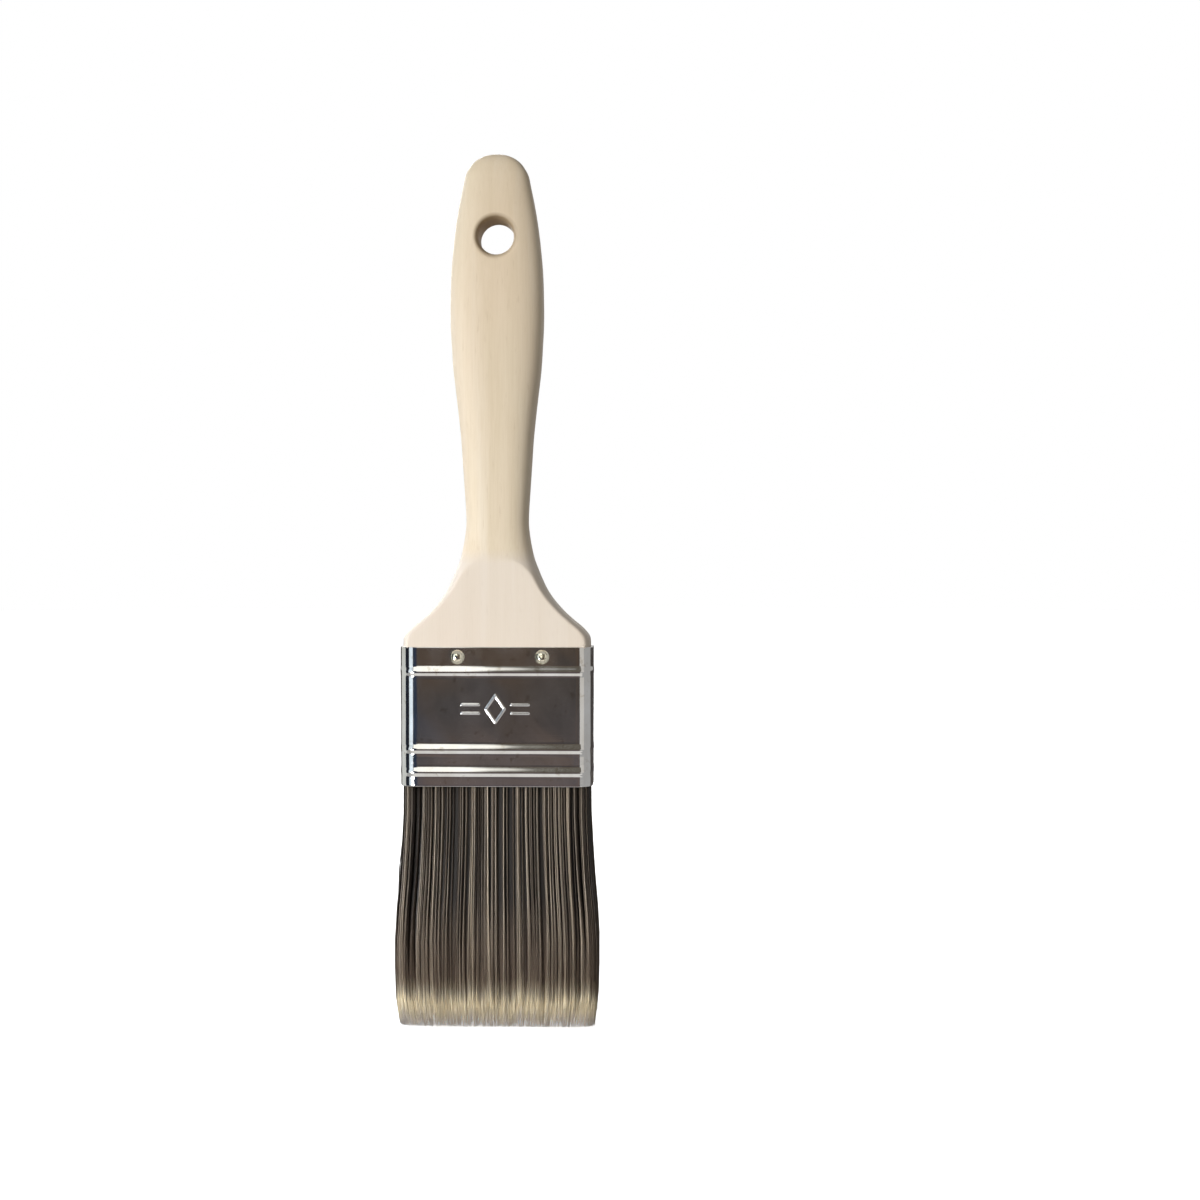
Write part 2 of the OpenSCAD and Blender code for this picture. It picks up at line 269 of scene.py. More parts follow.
# ---------------------------------------------------------------- materials
def wood_material():
    k = Nodes("pale_sanded_wood")
    fibre = k.noise((2600, 2600, 75), 6, 0.62, 0.1)
    bands = k.noise((260, 260, 7), 3, 0.5, 0.5)
    cloud = k.noise((45, 45, 16), 2, 0.5)
    fleck = k.noise((1500, 1500, 210), 2, 0.4)
    base = k.ramp(bands, (0.32, srgb(232, 216, 188)), (0.52, srgb(239, 224, 199)), (0.70, srgb(244, 232, 212)))
    warm = k.mix(k.ramp(cloud, (0.35, (0, 0, 0, 1)), (0.68, (0.55, 0.55, 0.55, 1))), base, srgb(240, 217, 190))
    fine = k.mix(k.ramp(fibre, (0.36, (0.16, 0.16, 0.16, 1)), (0.56, (0, 0, 0, 1))), warm, srgb(212, 190, 154))
    pores_and_painted_light = k.mix(k.ramp(fleck, (0.25, (0.20, 0.20, 0.20, 1)), (0.36, (0, 0, 0, 1))), fine, srgb(196, 170, 134))
    height = k.t.nodes.new("ShaderNodeSeparateXYZ")
    k.link(k.coord.outputs["Object"], height.inputs[0])
    # painted light: the planed facet near the ferrule is painted paler, standing in for the light falling on its slope
    facet_painted_light = k.math("MULTIPLY", k.math("SUBTRACT", -0.0805, height.outputs["Z"]), 260.0)
    facet_painted_light.node.use_clamp = True
    pores_and_painted_light = k.mix(k.math("MULTIPLY", facet_painted_light, 0.62), pores_and_painted_light, srgb(238, 227, 216))
    # the handle is painted darker from the neck towards its top end
    darker_toward_end = k.math("MULTIPLY", k.math("ADD", height.outputs["Z"], 0.080), 11.0)
    darker_toward_end.node.use_clamp = True
    pores_and_painted_light = k.mix(k.math("MULTIPLY", darker_toward_end, 0.42), pores_and_painted_light, srgb(206, 188, 158))
    # painted shade: the wall of the hanging hole is painted darker, as if in shadow
    x2 = k.math("MULTIPLY", height.outputs["X"], height.outputs["X"])
    z2 = k.math("MULTIPLY", height.outputs["Z"], height.outputs["Z"])
    hole_painted_shade = k.math("MULTIPLY", k.math("SUBTRACT", 0.0060, k.math("SQRT", k.math("ADD", x2, z2))), 900.0)
    hole_painted_shade.node.use_clamp = True
    pores_and_painted_light = k.mix(k.math("MULTIPLY", hole_painted_shade, 0.75), pores_and_painted_light, srgb(150, 126, 94))
    k.bsdf.inputs["Specular IOR Level"].default_value = 0.28
    k.link(pores_and_painted_light, k.bsdf.inputs["Base Color"])
    k.link(k.ramp(fibre, (0.3, (0.62, 0.62, 0.62, 1)), (0.7, (0.46, 0.46, 0.46, 1))), k.bsdf.inputs["Roughness"])
    k.link(k.bump(fibre, 0.00006, 0.38), k.bsdf.inputs["Normal"])
    return k.m


def metal_material():
    k = Nodes("bright_plated_sheet")
    scratch = k.noise((60, 60, 5200), 5, 0.65)
    smear = k.noise((95, 95, 60), 4, 0.6, 0.6)
    grime = k.noise((420, 420, 420), 3, 0.6)
    k.bsdf.inputs["Metallic"].default_value = 1.0
    tone = k.ramp(smear, (0.3, srgb(205, 203, 199)), (0.7, srgb(222, 222, 222)))
    k.link(k.mix(k.ramp(grime, (0.30, (0.5, 0.5, 0.5, 1)), (0.40, (0, 0, 0, 1))), tone, srgb(180, 172, 160)), k.bsdf.inputs["Base Color"])
    k.link(k.ramp(smear, (0.3, (0.065, 0.065, 0.065, 1)), (0.75, (0.115, 0.115, 0.115, 1))), k.bsdf.inputs["Roughness"])
    fine = k.bump(scratch, 0.000006, 0.35)
    k.link(k.bump(smear, 0.00008, 0.05, fine), k.bsdf.inputs["Normal"])
    return k.m


def nail_material():
    k = Nodes("plated_nail")
    tarnish = k.noise((1500, 1500, 1500), 3, 0.6)
    k.bsdf.inputs["Metallic"].default_value = 1.0
    k.link(k.ramp(tarnish, (0.30, srgb(132, 116, 84)), (0.44, srgb(232, 226, 206))), k.bsdf.inputs["Base Color"])
    k.link(k.ramp(tarnish, (0.3, (0.20, 0.20, 0.20, 1)), (0.5, (0.07, 0.07, 0.07, 1))), k.bsdf.inputs["Roughness"])
    k.link(k.bump(tarnish, 0.00008, 0.35), k.bsdf.inputs["Normal"])
    return k.m


def filament_material():
    k = Nodes("tapered_filament")
    along, tone = k.new("Attribute"), k.new("Attribute")
    along.attribute_name, tone.attribute_name = "along", "tone"
    # each filament turns pale at its own height, so the change is ragged
    shaft = k.ramp(tone.outputs["Fac"], (0.0, srgb(22, 18, 15)), (0.32, srgb(62, 53, 45)),
                   (0.56, srgb(118, 107, 95)), (0.80, srgb(164, 152, 137)), (1.0, srgb(208, 192, 170)))
    low = k.mix(k.ramp(along.outputs["Fac"], (0.45, (0, 0, 0, 1)), (0.80, (0.45, 0.45, 0.45, 1))), shaft, srgb(128, 108, 90))
    streak = k.noise((5200, 5200, 60), 2, 0.5)
    pale = k.ramp(streak, (0.3, srgb(246, 229, 193)), (0.7, srgb(255, 244, 217)))
    pale = k.mix(k.ramp(along.outputs["Fac"], (0.93, (0, 0, 0, 1)), (0.985, (1, 1, 1, 1))), pale, srgb(250, 240, 231))
    turn = k.ramp(along.outputs["Fac"], (0.790, (0, 0, 0, 1)), (0.842, (0.28, 0.28, 0.28, 1)), (0.880, (1, 1, 1, 1)))
    k.link(k.mix(turn, low, pale), k.bsdf.inputs["Base Color"])
    k.link(k.ramp(streak, (0.3, (0.38, 0.38, 0.38, 1)), (0.7, (0.54, 0.54, 0.54, 1))), k.bsdf.inputs["Roughness"])
    k.bsdf.inputs["Specular IOR Level"].default_value = 0.35
    return k.m


def inner_wood_material():
    k = Nodes("rough_sawn_plug")
    g = k.noise((1800, 1800, 60), 5, 0.6)
    k.link(k.ramp(g, (0.3, srgb(168, 128, 78)), (0.7, srgb(214, 178, 126))), k.bsdf.inputs["Base Color"])
    k.bsdf.inputs["Roughness"].default_value = 0.8
    k.link(k.bump(g, 0.0001, 0.6), k.bsdf.inputs["Normal"])
    return k.m


def resin_material():
    k = Nodes("amber_resin")
    g = k.noise((300, 300, 300), 3, 0.5)
    k.link(k.ramp(g, (0.3, srgb(140, 92, 34)), (0.7, srgb(186, 132, 60))), k.bsdf.inputs["Base Color"])
    k.bsdf.inputs["Roughness"].default_value = 0.18
    k.link(k.bump(g, 0.0001, 0.3), k.bsdf.inputs["Normal"])
    return k.m


def finish_piece(o, mat, slot, *nodes):
    o.data.materials.clear()
    o.data.materials.append(mat)
    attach(o, "root")
    if nodes:
        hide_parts(*nodes)


# ---------------------------------------------------------------- build the handle
pts, quads = surface_nets(handle_field, (-25.4, -9.8, Z_TANG - 1.0), (25.4, 9.8, 23.4), 0.42)
lo, hi = np.array(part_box("handle")) / MM
finish_piece(make_mesh("handle_wood_body", np.clip(pts, lo, hi), quads), wood_material(), "handle_wood", "handle")


# ---------------------------------------------------------------- build the ferrule
DIAMOND = [(0, -118.2), (2.4, -121.7), (0, -125.2), (-2.4, -121.7), (0, -118.2)]
BARS = [[(x * 4.2, z), (x * 8.6, z)] for x in (-1, 1) for z in (-120.6, -122.8)]


def stroke_distance(x, z):
    best = np.full(x.shape, 99.0)
    for line in [DIAMOND] + BARS:
        for (ax, az), (bx, bz) in zip(line, line[1:]):
            dx, dz = bx - ax, bz - az
            t = np.clip(((x - ax) * dx + (z - az) * dz) / (dx * dx + dz * dz), 0, 1)
            best = np.minimum(best, np.hypot(x - ax - t * dx, z - az - t * dz))
    return best


def spaced(*runs):
    """Values in order: each run is (start, end, step)."""
    out = [np.linspace(a, b, max(2, int(round(abs(b - a) / s)) + 1))[:-1] for a, b, s in runs]
    return np.concatenate(out + [np.array([runs[-1][1]])])


def ferrule_mesh():
    # walk round the sheet: place in the section, outward direction, and which face it is
    loop = []
    flat_x, flat_y = FW - FR, FT - FR
    front = spaced((-flat_x, -12.6, 0.6), (-12.6, -9.0, 0.3), (-9.0, 9.0, 0.16), (9.0, 14.8, 0.3), (14.8, flat_x, 0.6))
    for x in front[:-1]:
        loop.append((x, -FT, 0, -1, 0))
    for a in np.linspace(-90, 0, 19)[:-1]:
        c, s = math.cos(math.radians(a)), math.sin(math.radians(a))
        loop.append((flat_x + FR * c, -flat_y + FR * s, c, s, 3))
    for y in spaced((-flat_y, -0.3, 0.6), (-0.3, 0.3, 0.06), (0.3, flat_y, 0.6))[:-1]:
        loop.append((FW, y, 1, 0, 1))
    for a in np.linspace(0, 90, 19)[:-1]:
        c, s = math.cos(math.radians(a)), math.sin(math.radians(a))
        loop.append((flat_x + FR * c, flat_y + FR * s, c, s, 3))
    for x in spaced((-flat_x, -10.6, 0.7), (-10.6, -6.0, 0.3), (-6.0, 6.0, 0.7), (6.0, 10.6, 0.3), (10.6, flat_x, 0.7))[::-1][:-1]:
        loop.append((x, FT, 0, 1, 2))
    for a in np.linspace(90, 180, 19)[:-1]:
        c, s = math.cos(math.radians(a)), math.sin(math.radians(a))
        loop.append((-flat_x + FR * c, flat_y + FR * s, c, s, 3))
    for y in np.linspace(flat_y, -flat_y, 12)[:-1]:
        loop.append((-FW, y, -1, 0, 4))
    for a in np.linspace(180, 270, 19)[:-1]:
        c, s = math.cos(math.radians(a)), math.sin(math.radians(a))
        loop.append((-flat_x + FR * c, -flat_y + FR * s, c, s, 3))
    L = np.array(loop)
    m = len(L)

    def bead(z):
        return sum(BEAD_H * (0.5 + 0.5 * np.cos(np.pi * np.clip((z - b) / BEAD_W, -1, 1))) for b in BEADS)

    zs = [Z_BOT + 0.16]
    stops = sorted(BEADS)
    edge = Z_BOT + 0.16
    runs = []
    for b in stops:
        runs += [(edge, b - BEAD_W, 0.6), (b - BEAD_W, b + BEAD_W, 0.15)]
        edge = b + BEAD_W
        if b == stops[1]:
            runs += [(edge, -126.0, 0.6), (-126.0, -117.4, 0.15), (-117.4, stops[2] - BEAD_W, 0.6)]
            edge = stops[2] - BEAD_W
    runs += [(edge, Z_TOP - 0.16, 0.22)]
    runs = [r for r in runs if abs(r[1] - r[0]) > 1e-6]
    outer = spaced(*runs)
    rows = []
    x0, y0, nx, ny, side = L.T
    rng = np.random.default_rng(41)
    waves = [(rng.uniform(0.12, 0.5), rng.uniform(0.12, 0.5), rng.uniform(0, 6.28), rng.uniform(0.004, 0.011)) for _ in range(9)]
    around = np.cumsum(np.r_[0, np.hypot(np.diff(x0), np.diff(y0))])
    # whole waves round the sheet, so that its start meets its end
    span = around[-1] + math.hypot(x0[0] - x0[-1], y0[0] - y0[-1])
    for z in outer:
        turn = np.clip((np.abs(nx) - 0.45) / 0.45, 0, 1)
        d = bead(z) * (1 - 0.78 * turn * turn * (3 - 2 * turn))
        wob = sum(a * np.sin(2 * np.pi * max(1, round(p * span / 6.28)) * around / span + q * z + ph) for p, q, ph, a in waves)
        d = d - 0.016 + np.clip(0.5 * wob, -0.016, 0.016)
        on_front = side == 0
        k = np.clip(1 - stroke_distance(x0, np.full(m, z)) / 0.31, 0, 1)
        d = d + np.where(on_front, 0.25 * k * k * (3 - 2 * k), 0)
        for face, at, off in ((0, NAIL_FRONT, NAIL_SHIFT), (2, NAIL_BACK, 0.0)):
            for sgn in (-1, 1):
                rad = np.hypot(x0 - off - sgn * at, z - Z_NAIL)
                d = d - np.where(side == face, 0.05 * np.exp(-(rad / 2.1) ** 2), 0)
        groove = np.clip(1.5 - np.abs(y0) / 0.12, 0, 1)
        d = d - np.where(side == 1, 0.2 * groove, 0)
        rows.append((z, d))
    top_d, bot_d = rows[-1][1], rows[0][1]
    rows.append((Z_TOP - 0.06, top_d))
    rows.append((Z_TOP - 0.012, top_d - 0.015))
    rows.append((Z_TOP, top_d * 0 - 0.12))
    rows.append((Z_TOP - 0.04, top_d * 0 - SHEET + 0.04))
    for z in spaced((Z_TOP - 0.2, Z_BOT + 0.2, 0.9)):
        rows.append((z, np.full(m, bead(z) * 0.9 - SHEET - 0.0)))
    rows.append((Z_BOT + 0.04, top_d * 0 - SHEET + 0.04))
    rows.append((Z_BOT, top_d * 0 - 0.22))
    rows.append((Z_BOT + 0.04, bot_d - 0.05))
    v = np.concatenate([np.stack([x0 + nx * d, y0 + ny * d, np.full(m, z)], 1) for z, d in rows])
    n = len(rows)
    i, j = np.meshgrid(np.arange(n), np.arange(m), indexing="ij")
    i, j = i.ravel(), j.ravel()
    i2, j2 = (i + 1) % n, (j + 1) % m
    return v, np.stack([i * m + j, i * m + j2, i2 * m + j2, i2 * m + j], 1)


v, q = ferrule_mesh()
lo, hi = np.array(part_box("ferrule")) / MM
finish_piece(make_mesh("ferrule_sheet", np.clip(v, lo, hi), q), metal_material(), "plated_steel", "ferrule")


# ---------------------------------------------------------------- build the nails
def nail_mesh(seed):
    rng = np.random.default_rng(seed)
    r, h = 1.9, 1.1
    R = (r * r + h * h) / (2 * h)
    rim = math.asin(r / R)
    prof = [(R * math.sin(rim * t), h - R * (1 - math.cos(rim * t))) for t in np.linspace(0.04, 0.96, 12)]
    prof += [(1.88, 0.06), (1.86, 0.01), (1.7, 0.0), (0.72, 0.0), (0.7, -0.2), (0.7, -6.3), (0.05, -8.5)]
    prof = np.array(prof)
    m = 40
    a = 2 * np.pi * np.arange(m) / m
    dent = rng.uniform(-0.5, 0.5, 2)
    v = []
    for k, (pr, ph) in enumerate(prof):
        x, y = pr * np.cos(a), pr * np.sin(a)
        # a hammered flat on the dome, off its middle
        z = ph - (0.12 * np.exp(-((x - dent[0]) ** 2 + (y - dent[1]) ** 2) / 0.5) if ph > 0.05 else 0)
        v.append(np.stack([x, y, z + 0 * a], 1))
    v = np.concatenate(v)
    n = len(prof)
    faces = [[k * m + j, (k + 1) * m + j, (k + 1) * m + (j + 1) % m, k * m + (j + 1) % m] for k in range(n - 1) for j in range(m)]
    top, low = len(v), len(v) + 1
    v = np.vstack([v, [[0, 0, v[:m, 2].mean()]], [[0, 0, -8.6]]])
    tris = [[top, j, (j + 1) % m] for j in range(m)] + [[low, (n - 1) * m + (j + 1) % m, (n - 1) * m + j] for j in range(m)]
    quads = np.array(faces)
    tri = np.concatenate([np.array(tris), quads[:, [0, 1, 2]], quads[:, [0, 2, 3]]])
    return v, tri


nail_mat = nail_material()
for num, (name, x, back) in enumerate((("nail_front_left", NAIL_SHIFT - NAIL_FRONT, False), ("nail_front_right", NAIL_SHIFT + NAIL_FRONT, False),
                                       ("nail_back_left", -NAIL_BACK, True), ("nail_back_right", NAIL_BACK, True))):
    v, t = nail_mesh(60 + num)
    # the head points out of the front or the back face
    if back:
        w = np.stack([-v[:, 0] + x, v[:, 2] + FT, v[:, 1] + Z_NAIL], 1)
    else:
        w = np.stack([v[:, 0] + x, -v[:, 2] - FT, v[:, 1] + Z_NAIL], 1)
    lo, hi = np.array(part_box(name)) / MM
    finish_piece(make_mesh(name + "_dome", np.clip(w, lo, hi), t), nail_mat, "nail_metal", name)


# ---------------------------------------------------------------- build the filaments
FLARE = np.array([[0, 24.45, 7.05, 3.85], [0.12, 24.5, 7.3, 4.0], [0.25, 24.9, 7.6, 4.2], [0.38, 25.4, 7.9, 4.4],
                  [0.5, 26.1, 8.1, 4.5], [0.63, 26.6, 8.1, 4.5], [0.76, 26.6, 7.9, 4.4], [0.87, 26.4, 7.3, 4.2],
                  [0.935, 26.2, 6.6, 4.0], [0.98, 25.8, 5.6, 3.6], [1.0, 25.4, 4.9, 3.2]])


def flare(t, c):
    return np.interp(t, FLARE[:, 0], FLARE[:, c])


def strands(count, front, seed, shell):
    """Filaments as tapered three-sided tubes: (points, faces, share along, tone)."""
    rng = np.random.default_rng(seed)
    seg = 8
    # where each filament leaves the ferrule, across the rounded section
    a, b = [], []
    while len(a) < count:
        p, q = rng.uniform(-1, 1), rng.uniform(0, 1)
        if rng.random() < shell:
            if rng.random() < 0.86:
                q = 1 - abs(rng.normal(0, 0.05))
            else:
                p = math.copysign(1 - abs(rng.normal(0, 0.012)), p)
        ex, ey = max(abs(p) - 0.843, 0) / 0.157, max(q - 0.454, 0) / 0.546
        e = math.hypot(ex, ey)
        if e > 1:
            # draw it back onto the rounded corner
            p = math.copysign(0.843 + 0.157 * ex / e, p) if ex > 0 else p
            q = 0.454 + 0.546 * ey / e if ey > 0 else q
        a.append(p)
        b.append(min(q, 1))
    a, b = np.array(a) * 0.992, np.array(b) * 0.985
    sign = -1.0 if front else 1.0
    # length: a slightly convex, ragged edge, shorter on the outside where the tip is chiselled
    length = OUT - 0.30 * np.abs(a) ** 6 - 0.25 * np.clip(b, 0, 1) ** 3 - np.abs(rng.normal(0, 0.22, count))
    length -= np.where(rng.random(count) < 0.05, rng.uniform(1, 4, count), 0)
    length = np.minimum(length, OUT - 0.05)
    # neighbouring filaments cling together in small and large locks
    knots = np.cumsum(rng.gamma(2.2, 1.0, 86))
    knots = (knots - knots[0]) / (knots[-1] - knots[0]) * 2.04 - 1.02
    near = knots[np.abs(a[:, None] - knots[None, :]).argmin(1)]
    wide = np.sort(rng.uniform(-1.02, 1.02, 19))
    wnear = wide[np.abs(a[:, None] - wide[None, :]).argmin(1)]
    which = np.searchsorted(knots, near).clip(0, 85)
    lock_tone, wander = rng.normal(0, 1, 86)[which], rng.normal(0, 0.011, 86)[which]
    # a filament between two locks lies deeper, and is painted darker there as painted shade
    between = np.clip(np.abs(a - near) / 0.014, 0, 1)
    tone = np.clip(0.57 + 0.19 * lock_tone + rng.normal(0, 0.17, count) - 0.26 * between, 0, 1)
    sunk = 0.09 * between + 0.045 * np.clip(-lock_tone, 0, 2)
    shift = rng.normal(0, 0.018, count) + 0.010 * lock_tone
    drift = rng.normal(0, 0.30, (count, 2))
    phase, wav = rng.uniform(0, 6.28, (count, 2)), rng.normal(0, 0.07, (count, 2))
    spin = rng.uniform(0, 6.28, count)
    t = np.linspace(0, 1, seg + 1)[None, :] ** 0.9
    down = -2.5 + (length[:, None] + 2.5) * t
    share = np.clip(down / OUT, 0, 1)
    pull = 0.52 * (1 - 0.97 * np.clip((share - 0.60) / 0.32, 0, 1)) * np.clip(0.55 + share, 0, 1)
    ax = a[:, None] * (1 - pull) + near[:, None] * pull
    ax = ax * (1 - 0.04 * share**2) + wnear[:, None] * 0.04 * share**2
    ax = ax + wander[:, None] * np.clip(share, 0, 1) ** 1.3 * np.clip((1.05 - share) / 0.25, 0, 1)
    W, T = flare(share, 1), flare(share, 2)
    x = ax * W + drift[:, :1] * share**2 + wav[:, :1] * np.sin(phase[:, :1] + 5 * share) * share
    y = sign * ((b[:, None] - sunk[:, None] * (b[:, None] > 0.8) * (1 - 0.7 * share**3)) * T) + drift[:, 1:] * share**2 * 0.55 + wav[:, 1:] * np.sin(phase[:, 1:] + 4 * share) * share
    if front:
        # a few strays stand off the left edge
        for i, (stop, out, deep) in enumerate(((0.56, 26.42, -1.2), (0.44, 25.9, 0.0), (0.66, 26.45, -0.4))):
            down[i] = -2.5 + (stop * OUT + 2.5) * t[0]
            share[i] = np.clip(down[i] / OUT, 0, 1)
            x[i] = -np.interp(share[i], [0, 0.18, 0.36, stop], [24.3, 24.7, out - 0.45, out])
            y[i] = deep
    z = Z_BOT - down
    r = 0.115 * (1 - 0.62 * t**2.2) * rng.uniform(0.78, 1.12, count)[:, None]
    r[:, -1] = 0.018
    lim_x = np.minimum(W, 26.55) - 0.12
    if front:
        lim_x[:3] = 26.45
    lim_y = np.minimum(T, 8.05) - 0.12
    x = np.clip(x, -lim_x, lim_x)
    y = np.clip(y, 0.0 if not front else -lim_y, lim_y if not front else 0.0)
    ring = spin[:, None] + np.array([0, 2.0944, 4.18879])[None, :]
    P = np.stack([x, y, z], -1)[:, :, None, :]
    off = np.zeros((count, 1, 3, 3))
    off[:, 0, :, 0], off[:, 0, :, 1] = np.cos(ring), np.sin(ring)
    V = P + off * r[:, :, None, None]
    V = V.reshape(-1, 3)
    per = (seg + 1) * 3
    k, s = np.meshgrid(np.arange(seg), np.arange(3), indexing="ij")
    k, s = k.ravel(), s.ravel()
    one = np.stack([k * 3 + s, k * 3 + (s + 1) % 3, (k + 1) * 3 + (s + 1) % 3, (k + 1) * 3 + s], 1)[:, ::-1]
    tri = np.concatenate([one[:, [0, 1, 2]], one[:, [0, 2, 3]], [[0, 1, 2]], [[seg * 3 + 2, seg * 3 + 1, seg * 3]]])
    F = (tri[None] + (np.arange(count) * per)[:, None, None]).reshape(-1, 3)
    along = np.repeat((np.clip(down / OUT, 0, 1) + shift[:, None])[:, :, None], 3, 2).ravel()
    return V, F, along, np.repeat(tone, per)


def with_facts(o, along, tone):
    for key, val in (("along", along), ("tone", tone)):
        at = o.data.attributes.new(key, "FLOAT", "POINT")
        at.data.foreach_set("value", np.asarray(val, np.float32))


hair = filament_material()
for name, front, seed, node in (("filaments_front", True, 7, "filament_pack_front"), ("filaments_back", False, 8, "filament_pack_back")):
    V, F, al, to = strands(3980, front, seed, 0.62)
    o = make_mesh(name, V, F)
    with_facts(o, al, to)
    finish_piece(o, hair, "filament", node)


# the middle of the bundle, behind the outer filaments
def core():
    rows, m = [], 88
    rng = np.random.default_rng(17)
    comb = rng.uniform(0, 0.35, m)
    stops = np.concatenate([[-2.4], np.linspace(0, 0.94, 24) * OUT])
    for d in stops:
        s = max(d / OUT, 0)
        W, T, R = flare(s, 1) - 0.9, flare(s, 2) - 0.9, flare(s, 3)
        a = np.linspace(0, 2 * np.pi, m, endpoint=False)
        k = (np.abs(np.cos(a)) ** 5 + np.abs(np.sin(a)) ** 5) ** (-1 / 5)
        rows.append(np.stack([(W * k - comb) * np.cos(a), (T * k - comb * 0.6) * np.sin(a), np.full(m, Z_BOT - d)], 1))
    v = np.concatenate(rows)
    n = len(rows)
    tri = []
    for i in range(n - 1):
        for j in range(m):
            p, q, r_, s_ = i * m + j, i * m + (j + 1) % m, (i + 1) * m + (j + 1) % m, (i + 1) * m + j
            tri += [[p, s_, r_], [p, r_, q]]
    v = np.vstack([v, [[0, 0, v[0, 2]], [0, 0, v[-1, 2] - 0.8]]])
    tri += [[n * m, j, (j + 1) % m] for j in range(m)] + [[n * m + 1, (n - 1) * m + (j + 1) % m, (n - 1) * m + j] for j in range(m)]
    share = np.clip((Z_BOT - v[:, 2]) / OUT, 0, 1)
    return v, np.array(tri), share


V, F, share = core()
o = make_mesh("filaments_middle", V, F)
# painted shade: the middle's filaments get a near-black tone, standing in for the shade deep inside the bundle
with_facts(o, share, np.full(len(V), 0.03))
finish_piece(o, hair, "filament")

# ---------------------------------------------------------------- the nodes inside the ferrule
for node, mat in (("spacer_plug", inner_wood_material()), ("resin_setting", resin_material())):
    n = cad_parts[node]
    n.data.materials.clear()
    n.data.materials.append(mat)


# ---------------------------------------------------------------- stage, light, camera
def emission(name, colour, strength):
    m = bpy.data.materials.new(name)
    m.use_nodes = True
    t = m.node_tree
    t.nodes.clear()
    e, out = t.nodes.new("ShaderNodeEmission"), t.nodes.new("ShaderNodeOutputMaterial")
    e.inputs["Color"].default_value = colour
    e.inputs["Strength"].default_value = strength
    t.links.new(e.outputs[0], out.inputs[0])
    return m


bpy.ops.mesh.primitive_circle_add(vertices=96, radius=4.0, fill_type="NGON", location=(0, 0, (Z_TIP - 0.4) * MM))
floor = bpy.context.object
floor.name = "floor"
fm = bpy.data.materials.new("pale_floor")
fm.use_nodes = True
fb = fm.node_tree.nodes["Principled BSDF"]
fb.inputs["Base Color"].default_value = (0.86, 0.86, 0.86, 1)
fb.inputs["Roughness"].default_value = 0.7
fb.inputs["Specular IOR Level"].default_value = 0.2
fb.inputs["Emission Color"].default_value = (1, 1, 1, 1)
fb.inputs["Emission Strength"].default_value = 0.86
floor.data.materials.append(fm)
floor.visible_diffuse = floor.visible_glossy = False

bpy.ops.mesh.primitive_uv_sphere_add(segments=64, ring_count=32, radius=6.0)
dome = bpy.context.object
dome.name = "backdrop"
dome.data.materials.append(emission("backdrop_white", (1, 1, 1, 1), 1.0))
dome.visible_diffuse = dome.visible_glossy = dome.visible_shadow = dome.visible_transmission = False


def card(name, place, look, w, h, colour, strength):
    """A reflector or flag that only the polished metal sees."""
    bpy.ops.mesh.primitive_plane_add(size=1.0, location=place)
    o = bpy.context.object
    o.name = name
    o.scale = (w, h, 1)
    o.rotation_mode = "QUATERNION"
    o.rotation_quaternion = (Vector(look) - Vector(place)).to_track_quat("Z", "Y")
    o.data.materials.append(emission(name + "_tone", colour, strength))
    o.visible_camera = o.visible_diffuse = o.visible_shadow = False
    return o


MID = Vector((0, 0, -0.124))


def around(azimuth, elevation, distance):
    """A place round the ferrule: azimuth 0 is in front, and above 0 is to the right."""
    a, e = math.radians(azimuth), math.radians(elevation)
    return MID + Vector((math.sin(a) * math.cos(e), -math.cos(a) * math.cos(e), math.sin(e))) * distance


bpy.ops.mesh.primitive_uv_sphere_add(segments=64, ring_count=32, radius=5.0)
room = bpy.context.object
room.name = "grey_room"
room.data.materials.append(emission("grey_room_tone", (1, 1, 1, 1), 0.50))
room.visible_camera = room.visible_diffuse = room.visible_shadow = room.visible_transmission = False


def graded(o, axis, stops, strength, blotch=0.0):
    """Grades a card's glow along its own x (0 is its right end) or y (0 is its lower end)."""
    t = o.data.materials[0].node_tree
    coord, sep, r = t.nodes.new("ShaderNodeTexCoord"), t.nodes.new("ShaderNodeSeparateXYZ"), t.nodes.new("ShaderNodeValToRGB")
    t.links.new(coord.outputs["Generated"], sep.inputs[0])
    t.links.new(sep.outputs[axis], r.inputs["Fac"])
    e = r.color_ramp.elements
    while len(e) < len(stops):
        e.new(0.5)
    for k, (pos, col) in zip(e, stops):
        k.position, k.color = pos, col
    out = r.outputs["Color"]
    if blotch:
        n, tint, m = t.nodes.new("ShaderNodeTexNoise"), t.nodes.new("ShaderNodeValToRGB"), t.nodes.new("ShaderNodeMix")
        n.inputs["Scale"].default_value, n.inputs["Detail"].default_value = 15.0, 3.0
        t.links.new(coord.outputs["Generated"], n.inputs["Vector"])
        t.links.new(n.outputs["Fac"], tint.inputs["Fac"])
        tint.color_ramp.elements[0].position, tint.color_ramp.elements[1].position = 0.34, 0.66
        tint.color_ramp.elements[0].color = (0.72, 0.82, 1.0, 1)
        tint.color_ramp.elements[1].color = (1.34, 1.14, 1.0, 1)
        m.data_type, m.blend_type = "RGBA", "MULTIPLY"
        m.inputs[0].default_value = blotch
        t.links.new(out, m.inputs[6])
        t.links.new(tint.outputs["Color"], m.inputs[7])
        out = m.outputs[2]
    glow = next(n for n in t.nodes if n.type == "EMISSION")
    glow.inputs["Strength"].default_value = strength
    t.links.new(out, glow.inputs["Color"])


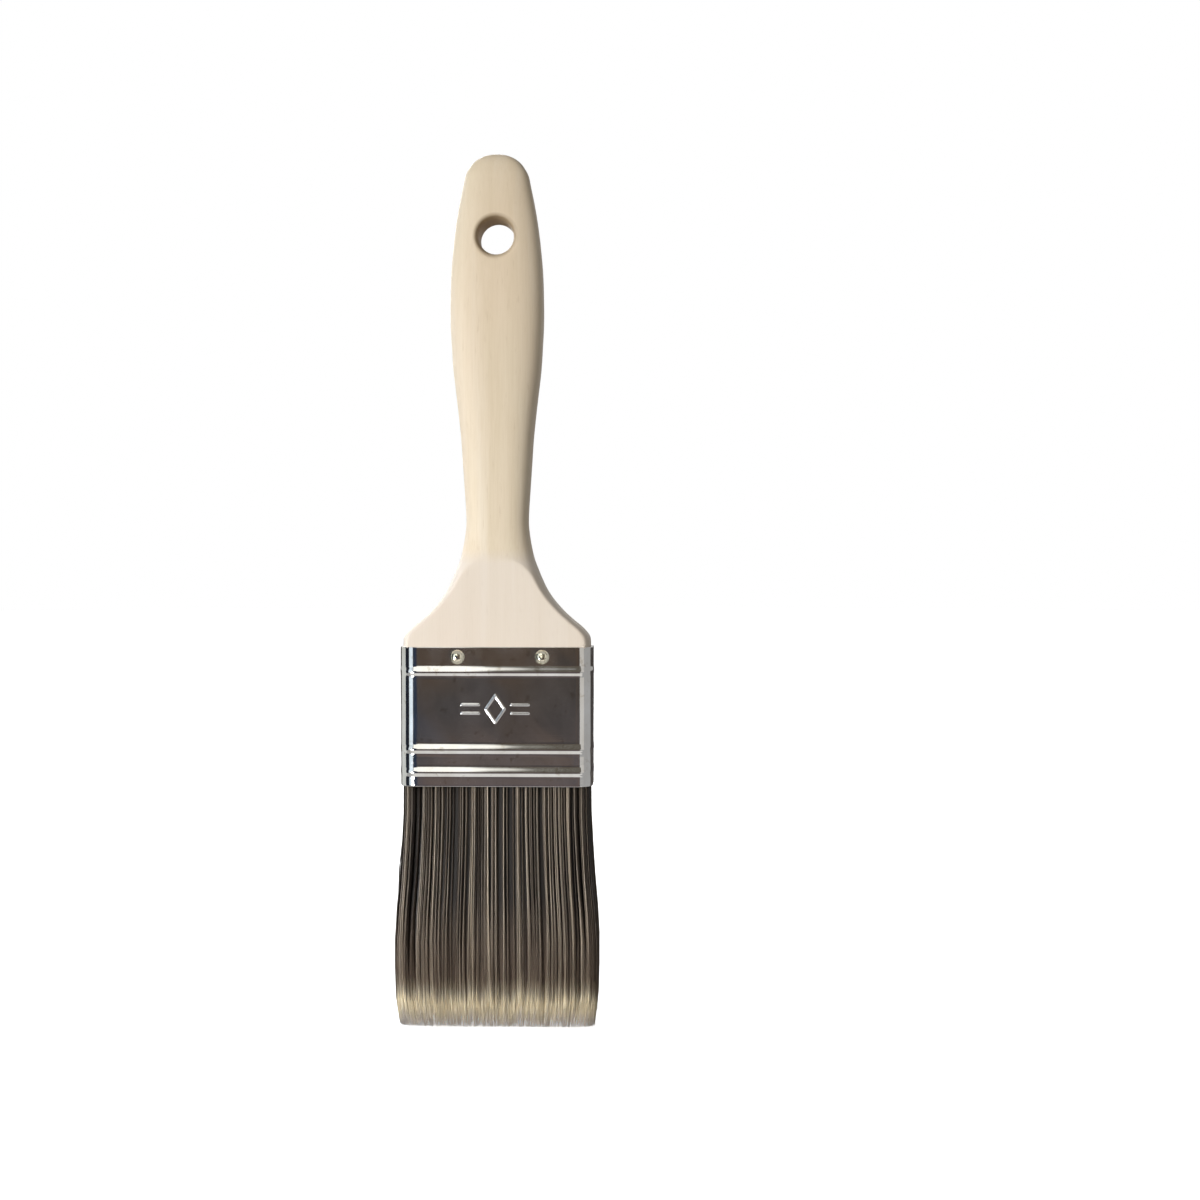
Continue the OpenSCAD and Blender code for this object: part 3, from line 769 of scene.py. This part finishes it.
flag = card("dark_flag", around(6, -15.7, 0.62), MID, 0.52, 0.377, srgb(74, 69, 65), 1.0)
graded(flag, "Y", ((0.60, srgb(108, 98, 96)), (0.70, srgb(110, 103, 101)), (0.765, srgb(86, 81, 79)), (0.84, srgb(84, 79, 75)), (0.90, srgb(92, 81, 71))), 1.0, 0.8)
card("dim_right", around(14, 19, 0.62), MID, 0.48, 0.40, srgb(112, 107, 98), 1.0)
card("navy_edge", around(-19.6, 3, 0.57), MID, 0.168, 0.66, srgb(46, 58, 78), 1.0)
card("bright_strip", around(-41, 6, 0.60), MID, 0.276, 0.64, (0.80, 0.91, 1.0, 1), 1.25)
card("dark_gap", around(-69, 4, 0.60), MID, 0.31, 0.70, srgb(34, 38, 48), 1.0)
card("left_wall", around(-106, 2, 0.60), MID, 0.50, 0.90, (0.97, 1.0, 0.96, 1), 0.82)
lit = card("top_left", around(-14.5, 21.5, 0.58), MID, 0.20, 0.42, (1, 0.985, 0.93, 1), 1.6)
graded(lit, "X", ((0.0, (0.10, 0.095, 0.08, 1)), (0.04, (0.10, 0.095, 0.08, 1)), (0.15, (1, 0.985, 0.92, 1))), 1.6)
for side, turn in (("left", 222), ("mid", 180), ("right", 138)):
    dim = card("back_dark_" + side, around(turn, -17, 0.90), MID, 0.70, 0.50, srgb(96, 92, 90), 1.0)
    graded(dim, "Y", ((0.45, srgb(120, 116, 112)), (0.80, srgb(84, 80, 78)), (0.95, srgb(70, 66, 64))), 1.0, 0.7)
    card("back_bright_" + side, around(turn, 20, 0.86), MID, 0.40, 0.34, (1, 0.99, 0.96, 1), 1.2)
card("low_front", around(0, -43, 0.55), MID, 0.90, 0.17, (1, 0.98, 0.95, 1), 0.95)


def area(name, place, look, size, power, colour=(1, 1, 1)):
    d = bpy.data.lights.new(name, "AREA")
    d.shape, d.size, d.energy, d.color = "SQUARE", size, power, colour
    o = bpy.data.objects.new(name, d)
    bpy.context.collection.objects.link(o)
    o.location = place
    o.rotation_mode = "QUATERNION"
    o.rotation_quaternion = (Vector(look) - Vector(place)).to_track_quat("-Z", "Y")
    return o


area("key", (-0.54, -0.71, 0.06), (0, 0, -0.10), 0.40, 6.3, (1.0, 0.995, 0.985))
area("fill", (0.45, -0.60, 0.05), (0, 0, -0.10), 0.6, 0.30, (1.0, 0.91, 0.78))
area("cool_rim", (-0.80, -0.02, 0.0), (0, 0, -0.09), 0.3, 1.3, (0.28, 0.58, 1.0))
area("low", (-0.14, -0.22, -0.215), (0, 0, -0.228), 0.07, 0.28)
area("back_key", (-0.30, 0.70, 0.32), (0, 0, -0.09), 0.5, 5.5)


world = bpy.data.worlds.new("studio")
bpy.context.scene.world = world
world.use_nodes = True
bg = world.node_tree.nodes["Background"]
bg.inputs["Color"].default_value = (1.0, 0.99, 0.97, 1)
bg.inputs["Strength"].default_value = 0.20

bpy.context.scene.view_settings.view_transform = "Standard"

cam_data = bpy.data.cameras.new("camera")
cam = bpy.data.objects.new("camera", cam_data)
bpy.context.collection.objects.link(cam)
cam.location = (0.038, -0.400, -0.085)
cam.rotation_mode = "QUATERNION"
cam.rotation_quaternion = (Vector((0.0267, 0, -0.0938)) - cam.location).to_track_quat("-Z", "Y")
cam_data.sensor_width, cam_data.lens = 36, 46.0
cam_data.dof.use_dof = False
bpy.context.scene.camera = cam
